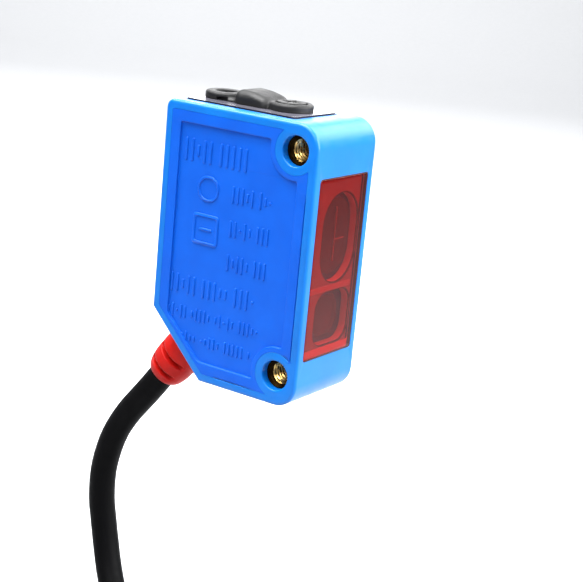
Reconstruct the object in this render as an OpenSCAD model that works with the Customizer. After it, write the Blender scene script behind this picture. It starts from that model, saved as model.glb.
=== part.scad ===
// Miniature photoelectric sensor with a pre-wired cable.
// The optical face looks along -Y, the labelled side cover faces -X and +Z is up.
// The origin is midway between the two threaded mounting holes, at mid-width.

/* [Body] */
// Width of the housing, across the two large side faces
body_w = 12; // [11.8:0.1:12.6]
// Depth of the housing, from the optical face to the rear
body_d = 21; // [20.8:0.1:21.6]
// Height of the housing without the controls on top
body_h = 32; // [31.8:0.1:32.6]
// Wall thickness at the front, rear, top and bottom
wall = 1.6; // [1.5:0.05:1.7]
// Wall thickness of the closed side
side_wall = 1.3; // [1.2:0.05:1.4]
// Radius of the two front corners
front_r = 2.8; // [2.4:0.1:3]
// Radius of the top rear corner
rear_r = 1; // [0.8:0.1:1.2]
// Height of the slanted cable corner on the rear face
slant_h = 7.4; // [7:0.1:7.8]
// Depth of the slanted cable corner on the bottom face
slant_d = 7.5; // [7:0.1:7.8]

/* [Side cover] */
// Thickness of the side cover
cover_t = 1.2; // [1:0.1:1.4]
// Width of the housing rim around the cover
cover_rim = 1; // [0.9:0.1:1.1]
// Distance from the housing edge to the sunken label field
field_rim = 2.3; // [2.1:0.1:2.5]
// Distance from the slanted edge to the label field
field_slant_rim = 1.45; // [1.3:0.05:1.6]
// Depth of the label field
field_depth = 0.3; // [0.2:0.05:0.4]
// Height of the raised marks in the label field
mark_h = 0.12; // [0.08:0.02:0.16]

/* [Mounting] */
// Distance between the two mounting holes
hole_pitch = 25.4; // [25.4:0.1:25.5]
// Distance from the optical face to the hole axes
hole_front = 2.9; // [2.8:0.05:3]
// Distance from the bottom face to the lower hole axis
hole_base = 3.5; // [3.4:0.05:3.6]
// Minor diameter of the M3 thread
thread_d = 2.5; // [2.4:0.05:2.6]
// Outer diameter of the brass inserts
insert_d = 4; // [3.8:0.1:4.1]
// Length of the brass inserts
insert_len = 10; // [9:0.1:10.4]
// Diameter of the plastic hole in front of each insert
mouth_d = 3.4; // [3.2:0.1:3.6]
// Outer diameter of the plastic boss around each insert
boss_d = 5.3; // [5.2:0.1:5.4]

/* [Window and optics] */
// Width of the front window
window_w = 9.8; // [9.4:0.1:9.9]
// Height of the front window
window_h = 20.7; // [20.3:0.1:20.8]
// Height of the window's lower edge above the bottom face
window_base = 5.45; // [5.4:0.05:5.5]
// Thickness of the front window
window_t = 0.85; // [0.8:0.05:0.95]
// Width of both lenses
lens_w = 6.9; // [6.7:0.1:7]
// Sideways distance of the lenses from the mid-plane
lens_x = 0.8; // [0.7:0.05:0.8]
// Height of the receiver lens
receiver_h = 10.2; // [9.8:0.1:10.4]
// Height of the receiver's centre above the origin
receiver_z = 2.8; // [2.6:0.05:2.9]
// Height of the emitter lens
emitter_h = 6.1; // [5.8:0.1:6.2]
// Height of the emitter's centre above the origin
emitter_z = -6.5; // [-6.5:0.05:-6.3]

/* [Controls] */
// Width of the panel in the top face
panel_w = 8.8; // [8.4:0.1:9]
// Depth of the panel, front to rear
panel_d = 15.4; // [15:0.1:15.4]
// Thickness of the panel
panel_t = 1.12; // [1.05:0.05:1.2]
// Distance from the optical face to the panel's front edge
panel_front = 4.4; // [4.4:0.1:4.6]
// Distance from the optical face to the distance adjuster's axis
adjuster_y = 8; // [7.9:0.1:8.1]
// Distance from the optical face to the mode selector's axis
selector_y = 17.1; // [17:0.1:17.2]
// Height of the collars on the bezel
collar_h = 1.05; // [0.9:0.05:1.2]
// Height of the light dome above the panel
dome_h = 1.85; // [1.7:0.05:2]

/* [Cable] */
// Diameter of the cable
cable_d = 3.4; // [3.2:0.1:3.4]
// Angle of the cable exit below the horizontal
exit_angle = 52; // [50:0.5:53]
// Diameter of the strain relief
relief_d = 5.4; // [5.2:0.1:5.6]
// Length of the strain relief outside the housing
relief_len = 8.6; // [8.4:0.1:8.8]

/* [Hidden] */
$fn = 64;
gap = 0.05;               // clearance between fixed pieces that meet
cut = 1;                  // how far a cutter runs past a face
front = -hole_front;
rear = front + body_d;
base = -hole_pitch/2 - hole_base;
top = base + body_h;
side = body_w/2;
slant_len = sqrt(slant_h*slant_h + slant_d*slant_d);
hole_zs = [-hole_pitch/2, hole_pitch/2];
boss_r = boss_d/2;
field_boss_r = 3.25;      // the label field bends around each hole at this radius

// Front window
window_z = base + window_base + window_h/2;
seal_t = 0.12;
ledge = 0.25;             // the seal's seat around the window opening
seat_y = front + window_t + seal_t;
cavity_front = front + 1.8;

// Optics behind the window
holder_x = 4.55;
holder_top = window_z + window_h/2 - ledge - 0.1;
holder_bottom = -hole_pitch/2 + boss_r + 0.1;
holder_front = seat_y - 0.05;
lens_in = 0.65;           // how far the lenses sit behind the holder's front
holder_rear = 7.2;
board_t = 0.6;
optics_y = holder_rear + 0.1;

// Top panel, controls and the parts below them
panel_y = front + panel_front;
panel_proud = 0.12;       // how far the panel stands above the housing
panel_under = top + panel_proud - panel_t;
panel_top = top + panel_proud;
panel_ledge = 0.7;
seam = 0.2;               // width of the panel's rubber seam
distance_y = front + adjuster_y;
mode_y = front + selector_y;
dome_y = (distance_y + mode_y)/2;
collar_top = top + collar_h;
distance_collar_r = 2.55;
distance_bore_r = 1.85;
mode_collar_r = 2.4;
mode_bore_r = 1.22;
stem_r = 0.9;
stem_hole_r = 1.2;
control_z = 9.9;          // underside of the control board
control_top = control_z + board_t;
part_top = control_top + 2.5;
rotor_z = part_top + 0.1;
rotor_h = 0.7;
blade_h = 0.4;
guide_w = 2.8;
guide_d = 3;

// Main board in the rear half of the housing
main_x = 3.6;
main_t = 0.8;

// Cable exit: a point on the slanted corner and the direction in which the cable leaves
exit_y = rear - 3.27;
exit_z = base + 4.17;
relief_r = relief_d/2;
cable_r = cable_d/2;
flange_r = 3.2;
flange_t = 1.2;
flange_in = 2.2;          // how far the flange's inner face is behind the exit point
flange_out = -flange_in + flange_t - gap;
jacket_in = 3.4;          // how far the jacket reaches behind the exit point
core_r = 0.5;

// Centreline of the cable from its end inside the housing to the top of the coil
CABLE_ROUTE = [
    [0, 12.7, -9.3], [0, 14.8, -12], [0, 17.3, -15.2], [0, 19.8, -18.3], [0, 21.6, -20.7],
    [0, 23.4, -23], [0, 25.3, -25.4], [0, 27, -28.1], [0, 28.2, -31], [0, 29, -34.6],
    [0, 29, -38.4], [0, 28.5, -41.2], [-0.2, 27.7, -44.1], [-0.8, 26.3, -47.5],
    [-1.9, 24.1, -50.4], [-3.2, 21.2, -52.7], [-4.5, 17.8, -54.1], [-5.2, 14, -54.6]];

// Coil that puts away the rest of the cable: four turns side by side, four deep
coil_y = 14;
coil_z = -80;
coil_r = 20.2;            // mean radius of the turns
turn_pitch = 3.45;
turns_across = 4;
coil_half = (turns_across - 1)/2*turn_pitch;
coil_half_w = coil_half + cable_r + 0.1;
tail_y = coil_y - coil_r - coil_half;
tail_len = 13;            // jacket that leaves the coil, straight down
lead_len = 20;            // stripped conductors
tie_t = 1;
tie_w = 2.6;
TIE_ANGLES = [118, 298];

// ---- Shared shapes ----

// Extrudes an outline drawn in Y and Z from x0 to x1
module along_x(x0, x1) {
    translate([x0, 0, 0]) rotate([90, 0, 90]) linear_extrude(x1 - x0) children();
}

// Extrudes an outline drawn in X and Z from y0 to y1
module along_y(y0, y1) {
    translate([0, y1, 0]) rotate([90, 0, 0]) linear_extrude(y1 - y0) children();
}

// A box given by its lowest and highest corners
module block(low, high) {
    translate(low) cube(high - low);
}

// A rectangle with round corners, centred
module round_rect(w, h, r) {
    square([w - 2*r, h], center = true);
    square([w, h - 2*r], center = true);
    for (x = [-1, 1], y = [-1, 1]) translate([x*(w/2 - r), y*(h/2 - r)]) circle(r);
}

// The housing's side outline in Y and Z, moved inwards by i, and by s at the slanted corner
module outline(i, s) {
    fr = front_r - i;
    rr = max(rear_r - i, 0.3);
    f = front + i;
    b = base + i;
    t = top - i;
    e = rear - i;
    slant_z = base + slant_h + (s*slant_len - i*slant_h)/slant_d;
    slant_y = rear - slant_d - (s*slant_len - i*slant_d)/slant_h;
    polygon([[f + fr, b], [slant_y, b], [e, slant_z], [e, t - rr], [e - rr, t], [f + fr, t],
        [f, t - fr], [f, b + fr]]);
    translate([f + fr, b + fr]) circle(fr);
    translate([f + fr, t - fr]) circle(fr);
    translate([e - rr, t - rr]) circle(rr);
}

// Both mounting hole positions in an outline drawn in Y and Z
module at_holes() {
    for (z = hole_zs) translate([0, z]) children();
}

// The side opening of the housing, less a margin all round
module cover_outline(margin) {
    difference() {
        outline(cover_rim + margin, cover_rim + margin);
        at_holes() circle(boss_r + margin);
    }
}

// The sunken label field
module field_outline() {
    difference() {
        outline(field_rim, field_slant_rim);
        at_holes() circle(field_boss_r);
    }
}

// Places its children on the cable exit axis, with +Z pointing out of the housing
module on_exit(along) {
    translate([0, exit_y, exit_z]) rotate([-90 - exit_angle, 0, 0]) translate([0, 0, along]) children();
}

// Tube swept along a route: one ring of corners square to the path at each point
function unit(v) = v/norm(v);
function heading(p, i) = unit(p[min(i + 1, len(p) - 1)] - p[max(i - 1, 0)]);
function ring(p, i, r, n) = let (t = heading(p, i), u = unit(cross(t, [1, 0, 0])), w = cross(t, u))
    [for (k = [0 : n - 1]) p[i] + r*(cos(360*k/n)*u + sin(360*k/n)*w)];
module tube(p, r, n) {
    rings = len(p);
    corners = [for (i = [0 : rings - 1]) each ring(p, i, r, n)];
    sides = [for (i = [0 : rings - 2], k = [0 : n - 1], half = [0, 1]) let (m = (k + 1)%n)
        half == 0 ? [i*n + k, i*n + m, (i + 1)*n + k] : [i*n + m, (i + 1)*n + m, (i + 1)*n + k]];
    ends = [[for (k = [n - 1 : -1 : 0]) k], [for (k = [0 : n - 1]) (rings - 1)*n + k]];
    polyhedron(corners, concat(sides, ends));
}

// ---- Housing ----

// The deep moulding: front, rear, top, bottom and one side
module main_housing() color("dodgerblue") difference() {
    along_x(-side, side) outline(0, 0);
    along_x(-side - cut, -side + cover_t) cover_outline(0);
    along_x(-side + cover_t - gap, side - side_wall) difference() {
        intersection() {
            outline(wall, wall);
            translate([cavity_front, base]) square([body_d, body_h]);
        }
        at_holes() circle(boss_r);
    }
    // window seat and opening
    along_y(front - cut, seat_y) translate([0, window_z]) round_rect(window_w, window_h, 0.4);
    along_y(front, cavity_front + cut) translate([0, window_z])
        round_rect(window_w - 2*ledge, window_h - 2*ledge, 0.3);
    // panel seat and opening
    translate([0, panel_y + panel_d/2, panel_under]) linear_extrude(panel_t + cut)
        round_rect(panel_w, panel_d, 0.6);
    translate([0, panel_y + panel_d/2, top - wall - cut]) linear_extrude(wall + cut)
        round_rect(panel_w - 2*panel_ledge, panel_d - 2*panel_ledge, 0.4);
    // cable exit with a seat for the strain relief's flange
    on_exit(-flange_in) cylinder(h = slant_h, r = relief_r + gap);
    on_exit(-flange_in - cut) cylinder(h = flange_t + cut, r = flange_r + gap);
    for (z = hole_zs) translate([0, 0, z]) rotate([0, 90, 0]) {
        translate([0, 0, -side - cut]) cylinder(h = body_w + 2*cut, r = mouth_d/2);
        translate([0, 0, -insert_len/2]) cylinder(h = insert_len, r = insert_d/2 + gap);
    }
}

// Generic raised marks in the label field: short bars with no lettering
module label_marks() {
    x0 = -side + field_depth - mark_h;
    along_x(x0, -side + field_depth + gap) {
        translate([12.3, 10.6]) square([6.2, 0.5], center = true);
        for (k = [0 : 2]) translate([5.1, 6.4 - 3.9*k]) square([5.6 - 0.6*k, 0.7], center = true);
        translate([11.4, 1.7]) difference() {
            square([3.6, 3.6], center = true);
            square([2.8, 2.8], center = true);
        }
        for (k = [0 : 2]) translate([7.4 + 0.3*k, -4.6 - 3.3*k])
            square([9.6 - 0.8*k, 0.7], center = true);
    }
}

// The welded side cover with its sunken label field
module side_cover() color("royalblue") {
    difference() {
        along_x(-side, -side + cover_t - gap) cover_outline(gap);
        along_x(-side - cut, -side + field_depth) field_outline();
    }
    label_marks();
}

// A brass insert with its M3 bore, on the X axis
module insert() color("gold") rotate([0, 90, 0]) difference() {
    translate([0, 0, -insert_len/2 + gap]) cylinder(h = insert_len - 2*gap, r = insert_d/2);
    translate([0, 0, -side]) cylinder(h = body_w, r = thread_d/2);
}

module upper_insert() translate([0, 0, hole_pitch/2]) insert();
module lower_insert() translate([0, 0, -hole_pitch/2]) insert();

// ---- Window and optics ----

module front_window() color("firebrick") along_y(front, front + window_t) translate([0, window_z])
    round_rect(window_w - 2*gap, window_h - 2*gap, 0.35);

module window_seal() color("black") along_y(front + window_t, seat_y) translate([0, window_z])
    difference() {
        round_rect(window_w - 2*gap, window_h - 2*gap, 0.35);
        round_rect(window_w - 2*ledge + gap, window_h - 2*ledge + gap, 0.3);
    }

// The two lens outlines in X and Z
module receiver_outline(m) translate([lens_x, receiver_z])
    round_rect(lens_w - 2*m, receiver_h - 2*m, lens_w/2 - m - 0.01);
module emitter_outline(m) translate([lens_x, emitter_z]) round_rect(lens_w - 2*m, emitter_h - 2*m, 1.9 - m);

// Black lens tube with one light-tight chamber per lens
module lens_holder() color("dimgray") difference() {
    block([-holder_x, holder_front, holder_bottom], [holder_x, holder_rear, holder_top]);
    along_y(holder_front - cut, holder_front + 2.2) receiver_outline(0);
    along_y(holder_front - cut, holder_front + 2.2) emitter_outline(0);
    along_y(holder_front + 2, holder_rear + cut) receiver_outline(0.6);
    along_y(holder_front + 2, holder_rear + cut) emitter_outline(0.6);
}

// A lens with a flat rim and a domed front, cut from a sphere
module lens(bulge_r, z) intersection() {
    children();
    translate([lens_x, holder_front + lens_in + bulge_r, z]) sphere(bulge_r);
}
module receiver_lens() color("lightcyan") lens(14, receiver_z)
    along_y(holder_front + lens_in, holder_front + 2.15) receiver_outline(gap);
module emitter_lens() color("lightcyan") lens(12, emitter_z)
    along_y(holder_front + lens_in, holder_front + 2.15) emitter_outline(gap);

module optics_board() color("darkgreen")
    block([-holder_x, optics_y, holder_bottom], [holder_x, optics_y + board_t, holder_top]);

// Two receiver segments on one carrier
module photodiode() color("black") {
    block([-1.6, optics_y - 0.7, receiver_z - 2.2], [1.6, optics_y, receiver_z + 2.2]);
    for (s = [-1, 1]) translate([-1.1, optics_y - 0.8, receiver_z + s - 0.8]) cube([2.2, 0.12, 1.6]);
}

module emitter_led() color("red") {
    block([-1.1, optics_y - 0.8, emitter_z - 1.1], [1.1, optics_y, emitter_z + 1.1]);
    translate([0, optics_y - 0.8, emitter_z]) rotate([90, 0, 0]) cylinder(h = 0.4, r = 0.7);
}

// Sheet metal screen over the receiver amplifier, behind the optics board
module shield_can() color("lightgray") {
    y0 = optics_y + board_t;
    difference() {
        block([-3.6, y0, receiver_z - 4.6], [2.9, y0 + 1.8, receiver_z + 4.6]);
        block([-3.4, y0 - cut, receiver_z - 4.4], [2.7, y0 + 1.6, receiver_z + 4.4]);
    }
}

// ---- Electronics ----

module main_pcb() color("darkgreen") along_x(main_x, main_x + main_t)
    polygon([[8.3, -9], [12.6, -9], [15.9, -5.8], [15.9, 9.4], [8.3, 9.4]]);

module sensor_asic() color("black") block([main_x - 0.9, 10.4, 2], [main_x, 14.4, 6]);
module output_transistor() color("black") block([main_x - 1, 11, -2.6], [main_x, 12.4, 0.3]);
module voltage_regulator() color("black") block([main_x - 1.1, 13.2, -2.6], [main_x, 15.2, 0.4]);

module capacitors() color("tan") for (k = [0 : 3])
    translate([main_x - 0.8, 10.2 + 1.4*k, 7]) cube([0.8, 0.8, 1.6]);

// Folded film that joins the control board to the main board
module board_flex() color("orange") along_y(9, 12) polygon([[4.45, 8], [4.45, 11.02], [3, 11.02],
    [3, control_top], [4.33, control_top], [4.33, 9.45], [main_x + main_t, 9.45], [main_x + main_t, 8]]);

module control_pcb() color("darkgreen") block([-4.2, 2.8, control_z], [4.2, 16.1, control_top]);

module indicator(y) translate([-0.8, y - 0.5, control_top]) cube([1.6, 1, 0.6]);
module led_orange() color("orange") indicator(dome_y - 0.9);
module led_green() color("lime") indicator(dome_y + 0.9);

// Clear rod that carries the indicator light up into the dome
module light_guide() color("gainsboro") translate([0, dome_y, control_top + 0.8])
    linear_extrude(top + dome_h - 0.9 - control_top - 0.8)
        round_rect(guide_w - 2*gap, guide_d - 2*gap, 0.5);

// ---- Top panel and controls ----

module top_panel() color("dimgray") difference() {
    translate([0, panel_y + panel_d/2, panel_under]) linear_extrude(panel_t)
        round_rect(panel_w - 2*seam, panel_d - 2*seam, 0.4);
    for (y = [distance_y, mode_y]) translate([0, y, 0]) cylinder(h = top + cut, r = stem_hole_r);
    translate([0, dome_y, 0]) linear_extrude(top + cut) round_rect(guide_w, guide_d, 0.5);
}

module panel_seal() color("black") translate([0, panel_y + panel_d/2, panel_under])
    linear_extrude(panel_t - panel_proud - 0.1) difference() {
        round_rect(panel_w - gap, panel_d - gap, 0.55);
        round_rect(panel_w - 2*seam, panel_d - 2*seam, 0.4);
    }

// One rubbery moulding: two collars joined by a raised light dome
module control_bezel() color("darkslategray") difference() {
    union() {
        translate([0, distance_y, panel_top])
            cylinder(h = collar_top - panel_top, r = distance_collar_r);
        translate([0, mode_y, panel_top]) cylinder(h = collar_top - panel_top, r = mode_collar_r);
        difference() {
            hull() for (x = [-1.3, 1.3], y = [-1.6, 1.6], z = [top + 0.4, top + dome_h - 0.9])
                translate([x, dome_y + y, z]) sphere(0.9, $fn = 24);
            translate([0, dome_y, panel_top - 2]) cube([20, 20, 4], center = true);
        }
    }
    translate([0, distance_y, top - cut]) cylinder(h = 2*cut + dome_h, r = distance_bore_r);
    translate([0, mode_y, top - cut]) cylinder(h = 2*cut + dome_h, r = mode_bore_r);
    translate([0, dome_y, top - cut]) linear_extrude(cut + dome_h - 0.8) round_rect(guide_w, guide_d, 0.5);
}

module shaft_seals() color("black") for (y = [distance_y, mode_y])
    translate([0, y, panel_under - 0.3]) rotate_extrude() translate([stem_r + 0.35, 0]) circle(0.28);

// A knob with a stem that ends in a driving blade; its head has a screwdriver slot
module knob(head_r, head_low, head_high, slot_w, slot_l) {
    stem_low = rotor_z + rotor_h + 0.05;
    difference() {
        translate([0, 0, head_low]) cylinder(h = head_high - head_low, r = head_r);
        translate([-slot_l/2, -slot_w/2, head_high - 0.5]) cube([slot_l, slot_w, cut]);
    }
    translate([0, 0, stem_low]) cylinder(h = head_low - stem_low, r = stem_r);
    translate([-0.7, -0.2, rotor_z + rotor_h - blade_h]) cube([1.4, 0.4, blade_h + 0.05]);
}

// Rotor turned by the blade; its pin runs in the component's body
module rotor() {
    difference() {
        translate([0, 0, rotor_z]) cylinder(h = rotor_h, r = 1.3);
        translate([-0.8, -0.27, rotor_z + rotor_h - blade_h - 0.05]) cube([1.6, 0.54, 1]);
    }
    translate([0, 0, rotor_z - 1.5]) cylinder(h = 1.5, r = 0.55);
}

// Body of a small rotary component, with the bore for its rotor
module rotary_body() difference() {
    block([-2, -1.9, control_top], [2, 1.9, part_top]);
    translate([0, 0, rotor_z - 1.8]) cylinder(h = 3, r = 0.6);
}

module distance_knob() color("black") translate([0, distance_y, 0])
    knob(distance_bore_r - 0.2, panel_top + 0.1, collar_top + 0.1, 0.5, 2.4);
module trimmer_rotor() color("white") translate([0, distance_y, 0]) rotor();
module trimmer_body() color("steelblue") translate([0, distance_y, 0]) rotary_body();
module selector_knob() color("black") translate([0, mode_y, 0])
    knob(mode_bore_r - 0.14, top - 0.7, top - 0.35, 0.4, 1.6);
module switch_rotor() color("white") translate([0, mode_y, 0]) rotor();
module switch_body() color("gray") translate([0, mode_y, 0]) rotary_body();

// ---- Cable ----

// Profile radius of the strain relief at a distance along its rounded nose
function nose_r(a) = cable_r + 0.25 + (relief_r - cable_r - 0.25)*cos(a);
function nose_s(a) = relief_len - 3.1 + 3.1*sin(a);

// Moulded bend relief: inner flange, round body with flexing slots and a rounded nose
module strain_relief() color("red") difference() {
    union() {
        on_exit(0) rotate_extrude() polygon(concat([[0, flange_out], [relief_r, flange_out]],
            [for (a = [0 : 10 : 90]) [nose_r(a), nose_s(a)]], [[0, relief_len]]));
        on_exit(-flange_in) cylinder(h = flange_out + flange_in, r = flange_r);
    }
    on_exit(-flange_in - cut) cylinder(h = relief_len + flange_in + 2*cut, r = cable_r + gap);
    for (k = [0 : 1]) {
        on_exit(4.6 + 2.2*k) translate([-relief_r - 1, -relief_r, 0]) cube([2.2, 2*relief_r, 0.5]);
        on_exit(4.6 + 2.2*k) translate([relief_r - 1.2, -relief_r, 0]) cube([2.2, 2*relief_r, 0.5]);
    }
}

module cable() color("black") tube(CABLE_ROUTE, cable_r, 8);

// Outer shape of the wound coil, with the jacket end that hangs from it
module cable_coil() color("black") {
    translate([0, coil_y, coil_z]) rotate([0, 90, 0]) rotate_extrude() translate([coil_r, 0])
        round_rect(2*coil_half_w, 2*coil_half_w, 1.5);
    translate([coil_half, tail_y, coil_z - tail_len]) cylinder(h = tail_len, r = cable_r);
}

// Two cable ties, each a band around all the turns
module coil_ties() color("black") for (a = TIE_ANGLES) {
    across = 2*(coil_half_w + gap);
    deep = 2*coil_half_w + 0.4;
    translate([0, coil_y, coil_z]) rotate([a - 90, 0, 0]) translate([0, 0, coil_r]) difference() {
        cube([across + 2*tie_t, tie_w, deep + 2*tie_t], center = true);
        cube([across, tie_w + cut, deep], center = true);
    }
}

// A stripped conductor inside the housing: straight out of the jacket, then to the main board
module core(x, v, straight, pad_y, pad_z) {
    s = -jacket_in - 0.15;
    c = cos(exit_angle);
    d = sin(exit_angle);
    start = [x, exit_y + c*s + v*d, exit_z - d*s + v*c];
    bend = [x, exit_y + c*(s - straight) + v*d, exit_z - d*(s - straight) + v*c];
    tube([start, bend, [main_x - core_r - gap, pad_y, pad_z]], core_r, 8);
}
module core_brown() color("saddlebrown") core(-0.6, -0.4, 3.2, 9.2, -6.6);
module core_blue() color("blue") core(0.6, -0.4, 0.8, 11.4, -8);
module core_black() color("black") core(0, 0.75, 1.6, 12.2, -4.6);

// A stripped conductor at the cable's free end
module lead(x, y) translate([coil_half + x, tail_y + y, coil_z - tail_len - lead_len])
    cylinder(h = lead_len, r = core_r);
module lead_brown() color("saddlebrown") lead(-0.6, -0.4);
module lead_blue() color("blue") lead(0.6, -0.4);
module lead_black() color("black") lead(0, 0.75);

main_housing();
side_cover();
upper_insert();
lower_insert();
front_window();
window_seal();
lens_holder();
receiver_lens();
emitter_lens();
optics_board();
photodiode();
emitter_led();
shield_can();
main_pcb();
sensor_asic();
output_transistor();
voltage_regulator();
capacitors();
board_flex();
control_pcb();
led_orange();
led_green();
light_guide();
top_panel();
panel_seal();
control_bezel();
shaft_seals();
distance_knob();
trimmer_rotor();
trimmer_body();
selector_knob();
switch_rotor();
switch_body();
strain_relief();
cable();
cable_coil();
coil_ties();
core_brown();
core_black();
core_blue();
lead_brown();
lead_black();
lead_blue();
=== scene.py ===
import math
import random

import bmesh
import bpy
import numpy as np
from mathutils import Matrix, Vector
from mathutils.geometry import tessellate_polygon


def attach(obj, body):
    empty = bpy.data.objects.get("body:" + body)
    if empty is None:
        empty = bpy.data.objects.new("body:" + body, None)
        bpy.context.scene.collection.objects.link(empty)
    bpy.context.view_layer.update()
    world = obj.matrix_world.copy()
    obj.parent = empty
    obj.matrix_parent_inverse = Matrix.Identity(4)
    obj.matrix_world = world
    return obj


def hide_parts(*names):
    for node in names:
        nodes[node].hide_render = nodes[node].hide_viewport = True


# Lengths below are in millimetres unless they say metres. +Z up, the window faces -Y, the
# labelled cover faces -X, and the origin is midway between the two mounting holes.
MM = 0.001
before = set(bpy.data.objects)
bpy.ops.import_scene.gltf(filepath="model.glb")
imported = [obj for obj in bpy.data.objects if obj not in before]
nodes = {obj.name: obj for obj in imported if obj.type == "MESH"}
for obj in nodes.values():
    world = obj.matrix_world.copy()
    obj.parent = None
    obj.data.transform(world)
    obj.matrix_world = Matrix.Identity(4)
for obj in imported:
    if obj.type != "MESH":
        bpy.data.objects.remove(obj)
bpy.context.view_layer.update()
BODY = "sensor_body"

# ---------------------------------------------------------------- camera

# The camera looks at the cover and the window from a little above, and is rolled slightly
AZIMUTH, ELEVATION, ROLL = math.radians(56.85), math.radians(14.87), math.radians(5.5)
forward = Vector((math.cos(ELEVATION)*math.sin(AZIMUTH), math.cos(ELEVATION)*math.cos(AZIMUTH),
                  -math.sin(ELEVATION)))
level = forward.cross(Vector((0, 0, 1))).normalized()
right = math.cos(ROLL)*level + math.sin(ROLL)*level.cross(forward)
up = right.cross(forward)
camera_data = bpy.data.cameras.new("camera")
camera_data.lens = 89.25
camera_data.sensor_width = 36
camera_data.sensor_fit = "HORIZONTAL"
camera_data.clip_start = 0.01
camera_data.clip_end = 20
camera = bpy.data.objects.new("camera", camera_data)
camera.matrix_world = Matrix.Translation(Vector((-134.05, -84.85, 38.02))*MM) @ Matrix(
    (right, up, -forward)).transposed().to_4x4()
bpy.context.scene.collection.objects.link(camera)
bpy.context.scene.camera = camera
bpy.context.scene.view_settings.view_transform = "Standard"

# ---------------------------------------------------------------- sizes shared with the CAD

# Half the housing's width along X, its front and rear along Y, its base and top along Z
SIDE, FRONT, REAR, BASE, TOP = 6, -2.9, 18.1, -16.2, 15.8
HOLES = (-12.7, 12.7)
WINDOW_Z = -0.4
PANEL_Y, PANEL_SEAT = 9.2, 14.8  # the top panel's middle, and the height it lies on
DISTANCE_Y, MODE_Y, DOME_Y = 5.1, 14.2, 9.65
CUT_Y, CUT_Z = 7.5, 7.4  # the slanted corner: its depth from the rear and its height
EXIT = np.array((0, 14.83, -12.03))
EXIT_AXIS = np.array((0, math.cos(math.radians(52)), -math.sin(math.radians(52))))
CABLE_R = 1.7
# The cable's centreline, from inside the housing to the top of the coil
ROUTE = [(0, 12.7, -9.3), (0, 14.8, -12), (0, 17.3, -15.2), (0, 19.8, -18.3), (0, 21.6, -20.7),
         (0, 23.4, -23), (0, 25.3, -25.4), (0, 27, -28.1), (0, 28.2, -31), (0, 29, -34.6),
         (0, 29, -38.4), (0, 28.5, -41.2), (-0.2, 27.7, -44.1), (-0.8, 26.3, -47.5),
         (-1.9, 24.1, -50.4), (-3.2, 21.2, -52.7), (-4.5, 17.8, -54.1), (-5.2, 14, -54.6)]
# The coil turns round X: its middle, the spacing of its turns and its mean radius
COIL_Y, COIL_Z, PITCH = 14, -80, 3.45
COIL_R = 20.2
COLUMNS = (-1.5*PITCH, -0.5*PITCH, 0.5*PITCH, 1.5*PITCH)
RADII = (COIL_R + 1.5*PITCH, COIL_R + 0.5*PITCH, COIL_R - 0.5*PITCH, COIL_R - 1.5*PITCH)
TURNS = 15.25
TAIL, LEAD = 13, 20  # jacket below the coil, then the stripped conductors


# ---------------------------------------------------------------- materials

def srgb(hexa):
    """Linear colour of a hex screen colour."""
    parts = [int(hexa[i:i + 2], 16)/255 for i in (0, 2, 4)]
    return tuple(c/12.92 if c <= 0.04045 else ((c + 0.055)/1.055)**2.4 for c in parts) + (1,)


def noise(nt, scale, detail, rough=0.55):
    """Noise over the object's own coordinates, scale in cycles per millimetre."""
    coords = nt.nodes.new("ShaderNodeTexCoord")
    node = nt.nodes.new("ShaderNodeTexNoise")
    node.inputs["Scale"].default_value = scale/MM
    node.inputs["Detail"].default_value = detail
    node.inputs["Roughness"].default_value = rough
    nt.links.new(coords.outputs["Object"], node.inputs["Vector"])
    return node.outputs["Fac"]


def spread(nt, value, low, high):
    """Maps a noise value to a range."""
    node = nt.nodes.new("ShaderNodeMapRange")
    node.inputs["From Min"].default_value = 0.3
    node.inputs["From Max"].default_value = 0.7
    node.inputs["To Min"].default_value = low
    node.inputs["To Max"].default_value = high
    nt.links.new(value, node.inputs["Value"])
    return node.outputs["Result"]


def plastic(name, colour, dark=None, rough=(0.35, 0.45), grain=3.0, bump=0.15, bump_mm=0.01,
            metallic=0.0, coat=0.0, subsurface=0.0, specular=0.5):
    """A moulded surface: slight colour drift, uneven gloss and a fine grain."""
    m = bpy.data.materials.new(name)
    m.use_nodes = True
    nt = m.node_tree
    b = nt.nodes["Principled BSDF"]
    c = srgb(colour)
    d = srgb(dark) if dark else tuple(0.88*x for x in c[:3]) + (1,)
    mix = nt.nodes.new("ShaderNodeMix")
    mix.data_type = "RGBA"
    mix.inputs[6].default_value = d
    mix.inputs[7].default_value = c
    nt.links.new(spread(nt, noise(nt, 0.25, 4), 0, 1), mix.inputs[0])
    nt.links.new(mix.outputs[2], b.inputs["Base Color"])
    nt.links.new(spread(nt, noise(nt, 0.8, 5), rough[0], rough[1]), b.inputs["Roughness"])
    b.inputs["Metallic"].default_value = metallic
    b.inputs["Specular IOR Level"].default_value = specular
    b.inputs["Coat Weight"].default_value = coat
    b.inputs["Coat Roughness"].default_value = 0.12
    if subsurface:
        b.inputs["Subsurface Weight"].default_value = subsurface
        b.inputs["Subsurface Radius"].default_value = (0.3, 0.6, 1.0)
        b.inputs["Subsurface Scale"].default_value = 0.4*MM
    bumps = nt.nodes.new("ShaderNodeBump")
    bumps.inputs["Strength"].default_value = bump
    bumps.inputs["Distance"].default_value = bump_mm*MM
    nt.links.new(noise(nt, grain, 6, 0.65), bumps.inputs["Height"])
    nt.links.new(bumps.outputs["Normal"], b.inputs["Normal"])
    return m


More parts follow.
